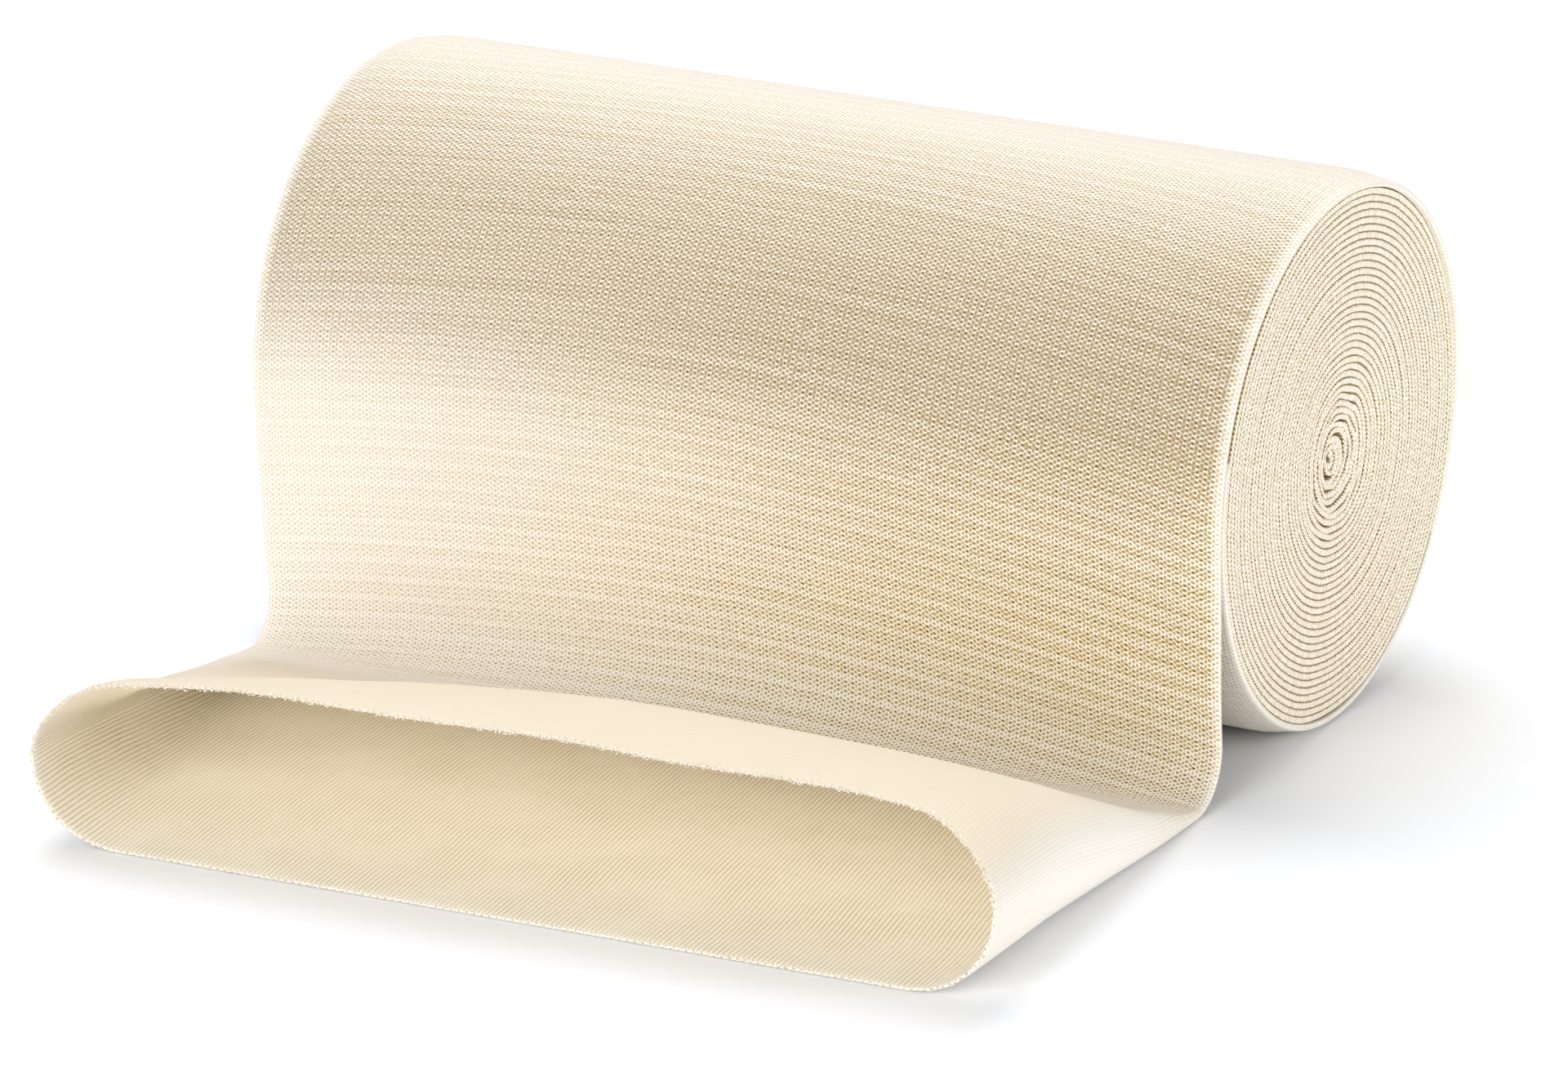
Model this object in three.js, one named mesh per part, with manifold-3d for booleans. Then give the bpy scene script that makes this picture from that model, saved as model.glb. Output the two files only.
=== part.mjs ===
// Elastic tubular bandage: one knitted tube, wound flat into a roll. Its loose end comes over the
// front of the roll, hangs down to the table, runs forward along it and stands open at the cut mouth.
// Millimetres, +Z up. X runs along the roll, -Y is the way the loose end runs.
// The origin is on the table, under the middle of the roll.
import * as THREE from "three";
import { mergeVertices } from "three/addons/utils/BufferGeometryUtils.js";
import Module from "manifold-3d";

// Driving dimensions
const FLAT_WIDTH = 325; // lay-flat width of the tube
const LAYER = 1.1; // one layer of the knit
const ROLL_RADIUS = 84.5; // where the loose end leaves it
const SETTLED = 1; // how far the roll's own weight flattens its underside
const LEAVE_ANGLE = 92; // where the loose end leaves the roll, degrees from its top towards the front
const BEND_RADIUS = 16; // face of the cloth where it turns from hanging to lying
const LAID_LENGTH = 156; // from that bend to the cut mouth

// Worked out from those
const PITCH = 2 * LAYER; // a turn of the flattened tube is two layers thick
const TURN = 2 * Math.PI;
const LEAVE = THREE.MathUtils.degToRad(LEAVE_ANGLE);
const BASE_RADIUS = ROLL_RADIUS - PITCH; // under the loose end
const BASE_BEND = BEND_RADIUS + PITCH;
const AXIS_HEIGHT = spiralRadius(-Math.PI) - SETTLED;

// End faces of the roll, core to rim: share of the radius, and how far in from the flat width
const END_ROWS = [
  { share: 0.03, inset: 4.5 },
  { share: 0.1, inset: 2.6 },
  { share: 0.35, inset: 1.0 },
  { share: 0.75, inset: 0.4 },
  { share: 0.95, inset: 0.0 },
  { share: 0.978, inset: 0.8 },
  { share: 0.991, inset: 3.5 },
  { share: 1.0, inset: 12.0 },
];

// Loose end, roll to mouth: run past the foot of its bend, width and height over the cloth, sideways
// drift of its middle, how askew it lies, as forward run for each millimetre across, how much taller
// its right side stands than its left, and how much its upper face swells in the middle
const LOOSE_ROWS = [
  { run: -80, width: 324, height: PITCH, drift: 0.5, skew: 0, rise: 0, crown: 0 },
  { run: -25, width: 318, height: PITCH, drift: 3.5, skew: 0.02, rise: 0, crown: 0 },
  { run: 0, width: 314, height: PITCH + 0.8, drift: 5.5, skew: 0.03, rise: 0, crown: 0 },
  { run: 25, width: 313, height: 10, drift: 8, skew: 0.036, rise: 1, crown: 1.5 },
  { run: 65, width: 310, height: 25, drift: 12.5, skew: 0.045, rise: 5, crown: 5.5 },
  { run: 105, width: 306, height: 40, drift: 18, skew: 0.054, rise: 9, crown: 8 },
  { run: 130, width: 303, height: 48, drift: 22, skew: 0.06, rise: 7, crown: 6.5 },
  { run: LAID_LENGTH, width: 299, height: 52, drift: 25, skew: 0.064, rise: 4, crown: 3 },
];

// Uneven upper lip of the mouth, left to right: share of the half width, lift and setback of the edge
const LIP_ROWS = [
  { across: -1.0, lift: -4.0, setback: 0.0 },
  { across: -0.65, lift: -0.4, setback: 3.0 },
  { across: -0.2, lift: 1.6, setback: 0.4 },
  { across: 0.1, lift: 0.6, setback: 2.6 },
  { across: 0.35, lift: 0.2, setback: 0.6 },
  { across: 0.7, lift: 0.0, setback: 2.4 },
  { across: 1.0, lift: -2.5, setback: 0.0 },
];

// How finely the surfaces are divided
const OUTLINE_STEPS = 90;
const SIDE_STEPS = 16;
const FOLD_STEPS = 10;
const STEPS = { wrapped: 3, hanging: 5, bend: 7, laid: 14 };
const WRAPPED_ANGLE = THREE.MathUtils.degToRad(14); // loose end bedded in the roll before it leaves
const BEDDED = 2.8; // depth at which that bedding starts, below the roll's rounded ends too
const POCKET_GAP = 1.4; // the two layers part at this clear height
const LIP_FROM = 0.4; // share of the tube's height above which its upper lip is shaped
const PAST_MOUTH = 6;

const wasm = await Module();
wasm.setup();

// Smooth reading of a table: key is the column to look up, the rest come back by name
function reader(rows, key) {
  const columns = Object.keys(rows[0]).filter((name) => name !== key);
  const at = rows.map((row) => row[key]);
  const values = rows.flatMap((row) => columns.map((name) => row[name]));
  const curve = new THREE.CubicInterpolant(at, values, columns.length);
  return (where) => {
    const clamped = THREE.MathUtils.clamp(where, at[0], at[at.length - 1]);
    const found = curve.evaluate(clamped);
    return Object.fromEntries(columns.map((name, i) => [name, found[i]]));
  };
}

const looseAt = reader(LOOSE_ROWS, "run");
const lipAt = reader(LIP_ROWS, "across");

// Closed skin over rings of points with the same count, fanned shut at both ends
function skin(rings) {
  const count = rings[0].length;
  const middle = (ring) =>
    ring.reduce((sum, p) => sum.add(p), new THREE.Vector3()).divideScalar(count);
  const points = [...rings.flat(), middle(rings[0]), middle(rings[rings.length - 1])];
  const first = rings.length * count;
  const index = [];
  for (let i = 0; i < count; i++) {
    const next = (i + 1) % count;
    const lastRow = (rings.length - 1) * count;
    index.push(first, next, i, first + 1, lastRow + i, lastRow + next);
    for (let row = 0; row < lastRow; row += count) {
      index.push(row + i, row + next, row + count + next);
      index.push(row + i, row + count + next, row + count + i);
    }
  }
  return new THREE.BufferGeometry().setFromPoints(points).setIndex(index);
}

// Geometry to solid for joining and cutting, and back
function toSolid(geometry) {
  const merged = mergeVertices(geometry);
  return new wasm.Manifold(
    new wasm.Mesh({
      numProp: 3,
      vertProperties: merged.attributes.position.array,
      triVerts: new Uint32Array(merged.index.array),
    }),
  );
}

function toGeometry(solid) {
  const mesh = solid.getMesh();
  const geometry = new THREE.BufferGeometry();
  geometry.setAttribute("position", new THREE.BufferAttribute(mesh.vertProperties, 3));
  geometry.setIndex(new THREE.BufferAttribute(mesh.triVerts, 1));
  geometry.computeVertexNormals();
  return geometry;
}

// Roll: a spiral outline that steps in by one turn where the loose end leaves, settled flat underneath
function spiralRadius(angle) {
  return ROLL_RADIUS - (PITCH * (LEAVE - angle)) / TURN;
}

function rollRing(x, share) {
  return Array.from({ length: OUTLINE_STEPS }, (_, i) => {
    const angle = LEAVE - TURN * (1 - (i + 1) / OUTLINE_STEPS);
    const radius = share * spiralRadius(angle);
    const height = AXIS_HEIGHT + radius * Math.cos(angle);
    return new THREE.Vector3(x, -radius * Math.sin(angle), Math.max(height, 0));
  });
}

function rollGeometry() {
  const half = FLAT_WIDTH / 2;
  const left = END_ROWS.map((row) => rollRing(row.inset - half, row.share));
  const right = END_ROWS.map((row) => rollRing(half - row.inset, row.share)).reverse();
  return skin([...left, ...right]);
}

// Route of the loose end's under layer: the middle of its width, the angle its face is turned to
// (0 faces up, a quarter turn faces forward), and the run past the foot of its bend
function route() {
  const onRoll = (angle, radius) => ({
    y: -radius * Math.sin(angle),
    z: AXIS_HEIGHT + radius * Math.cos(angle),
    face: angle,
    run: LOOSE_ROWS[0].run,
  });
  const start = onRoll(LEAVE, BASE_RADIUS);
  const bendTop = BASE_BEND * (1 - Math.cos(LEAVE));
  const hang = (start.z - bendTop) / Math.sin(LEAVE);
  const bendStart = start.y - hang * Math.cos(LEAVE);
  const bendEnd = bendStart - BASE_BEND * Math.sin(LEAVE);
  const wrapped = Array.from({ length: STEPS.wrapped }, (_, i) => {
    const back = 1 - i / STEPS.wrapped;
    return onRoll(LEAVE - back * WRAPPED_ANGLE, BASE_RADIUS - back * BEDDED);
  });
  const hanging = Array.from({ length: STEPS.hanging }, (_, i) => {
    const left = hang * (1 - i / STEPS.hanging);
    return {
      y: bendStart + left * Math.cos(LEAVE),
      z: bendTop + left * Math.sin(LEAVE),
      face: LEAVE,
      run: -left - LEAVE * BASE_BEND,
    };
  });
  const bend = Array.from({ length: STEPS.bend }, (_, i) => {
    const face = LEAVE * (1 - i / STEPS.bend);
    return {
      y: bendEnd + BASE_BEND * Math.sin(face),
      z: BASE_BEND * (1 - Math.cos(face)),
      face,
      run: -face * BASE_BEND,
    };
  });
  const laid = Array.from({ length: STEPS.laid + 1 }, (_, i) => {
    const run = (LAID_LENGTH * i) / STEPS.laid;
    return { y: bendEnd - run, z: 0, face: 0, run };
  });
  return [...wrapped, ...hanging, ...bend, ...laid];
}

// Section of the tube: two flat sides joined by half-round folds, counted anticlockwise as the
// tube is looked at from its mouth
function stadium(width, height) {
  const round = height / 2;
  const flat = width / 2 - round;
  const side = (from, to, up) =>
    Array.from({ length: SIDE_STEPS }, (_, i) => ({
      across: from + ((to - from) * i) / SIDE_STEPS,
      up,
    }));
  const fold = (centre, from) =>
    Array.from({ length: FOLD_STEPS }, (_, i) => {
      const turn = from + (Math.PI * i) / FOLD_STEPS;
      return { across: centre + round * Math.cos(turn), up: round + round * Math.sin(turn) };
    });
  return [
    ...side(-flat, flat, 0),
    ...fold(flat, -Math.PI / 2),
    ...side(flat, -flat, height),
    ...fold(-flat, Math.PI / 2),
  ];
}

// One ring of the loose end, drawn in by inset on every side, at a place on the route
function looseRing(place, inset) {
  const { width, height, drift, skew, rise, crown } = looseAt(place.run);
  const nearMouth = Math.max(place.run / LAID_LENGTH, 0) ** 2;
  return stadium(width - 2 * inset, height - 2 * inset).map(({ across, up }) => {
    const out = up + inset;
    const side = (2 * across) / width;
    const lip = lipAt(side);
    const upper = THREE.MathUtils.smoothstep(out, LIP_FROM * height, height);
    const swell = crown * (1 - side * side) + nearMouth * lip.lift;
    const lifted = out * (1 + (rise * side) / (2 * height)) + upper * swell;
    const back = upper * nearMouth * lip.setback + skew * (across + drift);
    return new THREE.Vector3(
      across + drift,
      place.y - lifted * Math.sin(place.face) + back,
      place.z + lifted * Math.cos(place.face),
    );
  });
}

// Loose end: the tube's outside, and the pocket between its layers, which opens at the mouth
function looseEnd() {
  const places = route();
  const outside = skin(places.map((place) => looseRing(place, 0)));
  const parted = places.filter((place) => looseAt(place.run).height > PITCH + POCKET_GAP);
  const rings = parted.map((place) => looseRing(place, LAYER));
  const beyond = rings[rings.length - 1].map((p) => p.clone().setY(p.y - PAST_MOUTH));
  return toSolid(outside).subtract(toSolid(skin([...rings, beyond])));
}

const knit = new THREE.MeshStandardMaterial({ color: 0xefe3cb, roughness: 0.95, metalness: 0 });

const bandage = new THREE.Mesh(toGeometry(toSolid(rollGeometry()).add(looseEnd())), knit);
bandage.name = "bandage";

const part = new THREE.Group();
part.add(bandage);

export default part;
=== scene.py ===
"""Elastic tubular bandage: a knitted tube wound flat into a roll, its loose end laid out and standing open.

The file is laid out as an add-on. Metres, +Z up: X runs along the roll, -Y is the way the loose end runs.
"""
import math

import bpy
import numpy as np
from bpy.props import FloatProperty, FloatVectorProperty, IntProperty, PointerProperty
from mathutils import Matrix, Vector


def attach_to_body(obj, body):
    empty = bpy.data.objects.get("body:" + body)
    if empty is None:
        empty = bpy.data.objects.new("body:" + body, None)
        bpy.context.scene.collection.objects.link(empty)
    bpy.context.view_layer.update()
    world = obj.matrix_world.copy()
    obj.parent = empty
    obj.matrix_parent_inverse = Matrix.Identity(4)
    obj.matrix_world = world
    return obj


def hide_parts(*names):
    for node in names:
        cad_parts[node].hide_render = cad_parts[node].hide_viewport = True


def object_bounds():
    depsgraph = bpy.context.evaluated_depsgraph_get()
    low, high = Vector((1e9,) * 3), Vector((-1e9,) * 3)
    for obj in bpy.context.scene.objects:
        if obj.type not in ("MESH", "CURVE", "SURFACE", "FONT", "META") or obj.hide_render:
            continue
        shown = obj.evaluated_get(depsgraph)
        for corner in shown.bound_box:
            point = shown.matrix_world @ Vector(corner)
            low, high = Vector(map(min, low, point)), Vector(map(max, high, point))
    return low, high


bl_info = {
    "name": "Elastic Tubular Bandage",
    "version": (1, 0, 0),
    "blender": (4, 5, 0),
    "location": "3D View > Sidebar > Bandage",
    "description": "Builds a roll of knitted tubular bandage with its loose end laid open",
    "category": "Add Mesh",
}

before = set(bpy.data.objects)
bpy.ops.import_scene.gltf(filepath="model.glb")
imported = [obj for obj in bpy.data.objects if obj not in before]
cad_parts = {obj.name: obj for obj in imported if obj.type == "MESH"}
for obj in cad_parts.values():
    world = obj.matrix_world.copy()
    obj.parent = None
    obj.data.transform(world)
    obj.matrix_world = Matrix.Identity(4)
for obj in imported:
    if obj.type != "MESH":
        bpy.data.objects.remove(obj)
CAD_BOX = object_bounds()

NODE = "bandage"
BODY = "root"
MM = 0.001
TURN = 2 * math.pi
KNIT_UV = "Knit"
OPEN_NAME = "Open"
# Attribute of how taut the knit is round the roll, which also carries painted shade for that band
TAUT_SHADE_NAME = "Taut"
SHEER_NAME = "Sheer"


def linear(hex_colour):
    """sRGB hex colour to the linear values that Blender's sockets take."""
    coded = [int(hex_colour[i : i + 2], 16) / 255 for i in (1, 3, 5)]
    return tuple(c / 12.92 if c <= 0.04045 else ((c + 0.055) / 1.055) ** 2.4 for c in coded)


# Loose end, roll to mouth, in mm: run past the foot of its bend, width and height over the cloth,
# sideways drift of its middle, how askew it lies, as forward run for each mm across, how much taller
# its right side stands than its left, and how much its upper face swells in the middle
LOOSE_ROWS = [
    {"run": -80, "width": 324, "height": 2.2, "drift": 0.5, "skew": 0, "rise": 0, "crown": 0},
    {"run": -25, "width": 318, "height": 2.2, "drift": 3.5, "skew": 0.02, "rise": 0, "crown": 0},
    {"run": 0, "width": 314, "height": 3.0, "drift": 5.5, "skew": 0.03, "rise": 0, "crown": 0},
    {"run": 25, "width": 313, "height": 10, "drift": 8, "skew": 0.036, "rise": 1, "crown": 1.5},
    {"run": 65, "width": 310, "height": 25, "drift": 12.5, "skew": 0.045, "rise": 5, "crown": 5.5},
    {"run": 105, "width": 306, "height": 40, "drift": 18, "skew": 0.054, "rise": 9, "crown": 8},
    {"run": 130, "width": 303, "height": 48, "drift": 22, "skew": 0.06, "rise": 7, "crown": 6.5},
    {"run": 156, "width": 299, "height": 52, "drift": 25, "skew": 0.064, "rise": 4, "crown": 3},
]

# Uneven upper lip of the mouth, left to right: share of the half width, lift and setback in mm
LIP_ROWS = [
    {"across": -1.0, "lift": -3.5, "setback": 0.0},
    {"across": -0.8, "lift": 0.5, "setback": 1.0},
    {"across": -0.6, "lift": 2.0, "setback": 2.6},
    {"across": -0.2, "lift": 1.4, "setback": 0.4},
    {"across": 0.1, "lift": 0.6, "setback": 2.6},
    {"across": 0.35, "lift": 0.2, "setback": 0.6},
    {"across": 0.7, "lift": 0.0, "setback": 2.4},
    {"across": 1.0, "lift": -2.5, "setback": 0.0},
]

# Soft swells and troughs of the loose cloth, in mm: middle across, run past the bend, reach across and
# along, height
SWELL_ROWS = [
    {"across": -95, "run": -45, "wide": 60, "long": 20, "height": 1.2},
    {"across": 20, "run": -35, "wide": 70, "long": 18, "height": -1.0},
    {"across": 110, "run": -45, "wide": 40, "long": 20, "height": 1.0},
    {"across": -125, "run": 110, "wide": 55, "long": 34, "height": -6.5},
    {"across": -115, "run": 55, "wide": 50, "long": 34, "height": -4.5},
    {"across": -60, "run": 110, "wide": 45, "long": 30, "height": -1.2},
    {"across": 35, "run": 120, "wide": 40, "long": 30, "height": 1.0},
]

# How the knit lies, roll to mouth: run past the foot of the bend in mm, how far its stitches are drawn open
# at the left and right folds, and how thin it is pulled round the roll. Over the band round the roll, from
# -195 to -88, the open and taut columns darken the knit, partly for its stretch and partly as painted shade
KNIT_ROWS = [
    {"run": -270, "left": 0.4, "right": 0.4, "taut_shade": 0.0},
    {"run": -225, "left": 0.4, "right": 0.4, "taut_shade": 0.0},
    {"run": -195, "left": 0.8, "right": 0.8, "taut_shade": 0.5},
    {"run": -160, "left": 1.0, "right": 1.1, "taut_shade": 1.0},
    {"run": -120, "left": 0.9, "right": 1.2, "taut_shade": 1.0},
    {"run": -88, "left": 0.35, "right": 1.2, "taut_shade": 0.4},
    {"run": -50, "left": 0.3, "right": 1.5, "taut_shade": 0.15},
    {"run": -20, "left": 0.4, "right": 1.2, "taut_shade": 0.0},
    {"run": 0, "left": 0.5, "right": 0.8, "taut_shade": 0.0},
    {"run": 25, "left": 0.1, "right": 0.1, "taut_shade": 0.08},
    {"run": 156, "left": 0.05, "right": 0.05, "taut_shade": 0.08},
]


class BandageSizes(bpy.types.PropertyGroup):
    """Sizes of the tube, its roll and its knit."""

    flat_width: FloatProperty(
        name="Flat width", description="Lay-flat width of the tube", default=325 * MM, unit="LENGTH"
    )
    layer: FloatProperty(
        name="Layer", description="Thickness of one layer of knit", default=1.1 * MM, unit="LENGTH"
    )
    roll_top: FloatProperty(
        name="Roll top", description="Height of the roll", default=CAD_BOX[1].z, unit="LENGTH"
    )
    settled: FloatProperty(
        name="Settled", description="Flattening of the underside", default=1 * MM, unit="LENGTH"
    )
    core: FloatProperty(
        name="Core", description="Radius at which the winding starts", default=1.3 * MM, unit="LENGTH"
    )
    leave: FloatProperty(
        name="Leave",
        description="Where the loose end leaves the roll, from its top towards the front",
        default=math.radians(92),
        subtype="ANGLE",
    )
    bend: FloatProperty(
        name="Bend", description="Radius where the cloth turns on the table", default=16 * MM, unit="LENGTH"
    )
    laid: FloatProperty(
        name="Laid length", description="From the bend to the mouth", default=156 * MM, unit="LENGTH"
    )
    droop: FloatProperty(
        name="Droop", description="How far the roll's rim sinks at its ends", default=1.9 * MM, unit="LENGTH"
    )
    droop_length: FloatProperty(
        name="Droop length", description="From where the rim sinks to the end", default=13 * MM, unit="LENGTH"
    )
    proud: FloatProperty(
        name="Proud turn",
        description="How far the outer turn has slipped out",
        default=2.2 * MM,
        unit="LENGTH",
    )
    wale: FloatProperty(
        name="Wale", description="Spacing of the stitch columns", default=1.2 * MM, unit="LENGTH"
    )
    course: FloatProperty(
        name="Course", description="Spacing of the stitch rows", default=1.5 * MM, unit="LENGTH"
    )
    bow: FloatProperty(
        name="Bow", description="How far the stitch rows lag at the folds", default=13 * MM, unit="LENGTH"
    )
    fibres: IntProperty(name="Fibres", description="Cut yarn ends along the upper lip", default=1500)
    seed: IntProperty(name="Seed", description="Seed of the small chance differences", default=7)


class BandageColours(bpy.types.PropertyGroup):
    """Colours of the yarn and of the stage."""

    loop: FloatVectorProperty(
        name="Loops", description="Raised cotton loops", subtype="COLOR", size=3, default=linear("#F6F1E8")
    )
    # Loops of the end face, paler than the outside's loops: painted light for the end face that the right
    # lamp lights
    fold: FloatVectorProperty(
        name="Folded loops",
        description="Loops at the folds of the turns",
        subtype="COLOR",
        size=3,
        default=linear("#FFF9EC"),
    )
    # Thread where the knit is pulled thin round the roll: darker than the thread, partly painted shade for
    # that band
    taut_shade: FloatVectorProperty(
        name="Taut thread",
        description="Thread pulled round the roll",
        subtype="COLOR",
        size=3,
        default=linear("#A18A5D"),
    )
    thread: FloatVectorProperty(
        name="Thread",
        description="Covered elastic along the wales",
        subtype="COLOR",
        size=3,
        default=linear("#B69A53"),
    )
    gap: FloatVectorProperty(
        name="Gaps", description="Pinholes between loops", subtype="COLOR", size=3, default=linear("#4F3611")
    )
    back: FloatVectorProperty(
        name="Back", description="Inside of the tube", subtype="COLOR", size=3, default=linear("#FFF9EB")
    )
    cut: FloatVectorProperty(
        name="Cut yarn", description="Ends at the mouth", subtype="COLOR", size=3, default=linear("#F8F1E4")
    )
    floor: FloatVectorProperty(
        name="Floor", description="Plain table", subtype="COLOR", size=3, default=linear("#F9FBFF")
    )


class BandageStage(bpy.types.PropertyGroup):
    """Camera and lights."""

    azimuth: FloatProperty(
        name="Azimuth", description="Camera round the roll", default=math.radians(28.47), subtype="ANGLE"
    )
    elevation: FloatProperty(
        name="Elevation", description="Camera above the table", default=math.radians(19.11), subtype="ANGLE"
    )
    distance: FloatProperty(
        name="Distance", description="Camera to its target", default=2.4795, unit="LENGTH"
    )
    target: FloatVectorProperty(
        name="Target",
        description="What the camera looks at",
        size=3,
        default=(-0.0234, 0.0, 0.0279),
        unit="LENGTH",
    )
    lens: FloatProperty(name="Lens", description="Focal length", default=187.5, unit="CAMERA")
    sky: FloatProperty(name="Sky", description="Strength of the even studio light", default=0.42)


class BandageSettings(bpy.types.PropertyGroup):
    """Everything that can be changed."""

    sizes: PointerProperty(type=BandageSizes)
    colours: PointerProperty(type=BandageColours)
    stage: PointerProperty(type=BandageStage)


# Shared helpers


def node(tree, kind, inputs=None, **settings):
    """Add a node with its settings; an input is linked where it is given a socket, and set otherwise."""
    made = tree.nodes.new(kind)
    for name, value in settings.items():
        setattr(made, name, value)
    for key, value in (inputs or {}).items():
        if isinstance(value, bpy.types.NodeSocket):
            tree.links.new(value, made.inputs[key])
        else:
            made.inputs[key].default_value = value
    return made.outputs


def read_rows(rows, key, where):
    """Smooth reading of a table at many places: the columns beside key, by name."""
    at = np.array([row[key] for row in rows], float)
    where = np.clip(where, at[0], at[-1])
    i = np.clip(np.searchsorted(at, where) - 1, 0, len(at) - 2)
    step = at[i + 1] - at[i]
    t = (where - at[i]) / step
    found = {}
    for name in rows[0]:
        if name == key:
            continue
        value = np.array([row[name] for row in rows], float)
        slope = np.gradient(value, at)
        found[name] = (
            value[i] * (2 * t**3 - 3 * t**2 + 1)
            + slope[i] * step * (t**3 - 2 * t**2 + t)
            + value[i + 1] * (3 * t**2 - 2 * t**3)
            + slope[i + 1] * step * (t**3 - t**2)
        )
    return found


def smoothstep(x, low, high):
    """Soft step from 0 at low to 1 at high."""
    t = np.clip((x - low) / (high - low), 0, 1)
    return t * t * (3 - 2 * t)


OVERLAP = 0.3  # radians by which the outer cloth starts before its last full turn
TUCK = 0.05  # radians by which the turns under it run on below that start


class Winding:
    """The spiral that the flattened tube is wound on, worked out from the sizes."""

    def __init__(self, sizes):
        self.pitch = 2 * sizes.layer
        self.leave = sizes.leave
        step = self.pitch / TURN
        self.radius = (sizes.roll_top + sizes.settled + step * (2 * self.leave + math.pi)) / 2
        self.axis_height = self.outer(-math.pi) - sizes.settled

    def outer(self, angle):
        """Radius of the outer face at an angle from the top towards the front."""
        return self.radius - self.pitch * (self.leave - angle) / TURN

    def hidden_start(self):
        """Angle at which the outer cloth takes over, one turn and a bit before it leaves."""
        return self.leave - TURN - OVERLAP


# Materials

WALES, RIBS = 5, 4  # five drawn wales are as wide as four ribs of the inside
STRAY = 0.9 * MM  # how far a stitch strays from its place
STRAY_REACH = 25 * MM  # stitches this near stray together
GAP_SIZE, GAP_CHANGE = 0.78, 0.22  # a gap's size in one wale is their sum, in the next their difference
ROW_REACH = 120 * MM  # a row keeps its tension over this length
ROW_SPACING = 1.4 * MM  # rows this far apart differ in tension
ROW_SHARE = 0.4  # how much a row's tension counts beside a single gap's
GAP_SPACING = 0.8 * MM  # gaps this far apart differ in size
UNEVEN = 0.3  # how much gaps differ in size
TIGHT_EVERY = 4  # rows from one tight row to the next
TIGHTENED = 0.3  # how far a tight row shuts its gaps
EVENED = 0.7  # how much of that is lost where the cloth is taut
# Where the knit is taut round the roll more thread shows and its dots are fainter; the darker band is partly
# painted shade
TAUT_SHADE_SPREAD = 0.45  # how much more thread shows where the cloth is taut
DOT_DEPTH, DOT_DRAWN = 0.15, 0.8  # how strongly its dots show where slack, and how much more where stretched
DOT_TAUT_SHADE = 0.25  # how much less where the cloth is taut
LINE_DEPTH, LINE_DRAWN = 0.15, 0.12  # the same for the line along a wale
BLOTCH = 25 * MM  # size of the paler and darker patches of the inside
RELIEF = {"Strength": 0.6, "Distance": 0.25 * MM}  # how deep the stitches are


def knit_lattice(tree, wale, course):
    """Stitch lattice from the piece's own UV map, which is in metres: u round the tube, v along it.

    The real wales are 0.6 mm apart, too fine to show, so they are drawn twice as coarse. Gaps of one wale
    lie half a row from those of the next and are larger, so the rows show as fine lines.
    Returns that map with its stitches nudged, a field that is 1 in the middle of each large gap, and
    another that is 1 on each wale line.
    """
    uv = node(tree, "ShaderNodeUVMap", uv_map=KNIT_UV)[0]
    stray = node(tree, "ShaderNodeTexNoise", {"Vector": uv, "Scale": 1 / STRAY_REACH, "Detail": 1.0})["Color"]
    stray = node(tree, "ShaderNodeVectorMath", {0: stray, 1: (0.5, 0.5, 0.5)}, operation="SUBTRACT")[0]
    nudge = node(tree, "ShaderNodeVectorMath", {0: stray, "Scale": STRAY}, operation="SCALE")[0]
    moved = node(tree, "ShaderNodeVectorMath", {0: uv, 1: nudge})[0]
    split = node(tree, "ShaderNodeSeparateXYZ", {0: moved})
    waves = []
    for part, spacing in (("X", wale), ("Y", course / 2)):
        turn = node(tree, "ShaderNodeMath", {0: split[part], 1: math.pi / spacing}, operation="MULTIPLY")[0]
        waves.append(node(tree, "ShaderNodeMath", {0: turn}, operation="COSINE")[0])
    wales = node(tree, "ShaderNodeMath", {0: waves[0], 1: waves[0]}, operation="MULTIPLY")[0]
    sized = node(
        tree, "ShaderNodeMath", {0: waves[0], 1: GAP_SIZE, 2: GAP_CHANGE}, operation="MULTIPLY_ADD"
    )[0]
    gaps = node(tree, "ShaderNodeMath", {0: sized, 1: waves[1]}, operation="MULTIPLY")[0]
    return moved, gaps, wales


def new_material(name):
    """Material, with its node tree and its main shader."""
    material = bpy.data.materials.new(name)
    material.use_nodes = True
    return material, material.node_tree, material.node_tree.nodes["Principled BSDF"]


def soft_cotton(tree, shader, colours, colour, sunk):
    """Matt cotton: hardly any shine, and a pale bloom of loose fibre where it is seen edge on.

    The stitches lie deepest where sunk is 1. Where the cloth isn't doubled it lets light through, by the
    share that is the piece's own attribute.
    """
    raised = node(tree, "ShaderNodeMath", {0: sunk, 1: -1.0}, operation="MULTIPLY")[0]
    bump = node(tree, "ShaderNodeBump", {"Height": raised, **RELIEF})[0]
    tree.links.new(colour, shader.inputs["Base Color"])
    tree.links.new(bump, shader.inputs["Normal"])
    shader.inputs["Roughness"].default_value = 0.95
    shader.inputs["Specular IOR Level"].default_value = 0.12
    shader.inputs["Sheen Weight"].default_value = 0.2
    shader.inputs["Sheen Roughness"].default_value = 0.55
    sheer = node(tree, "ShaderNodeAttribute", attribute_name=SHEER_NAME)["Fac"]
    through = node(tree, "ShaderNodeBsdfTranslucent", {"Color": (*colours.back, 1)})[0]
    both = node(tree, "ShaderNodeMixShader", {0: sheer, 1: shader.outputs[0], 2: through})[0]
    tree.links.new(both, tree.nodes["Material Output"].inputs["Surface"])


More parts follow.
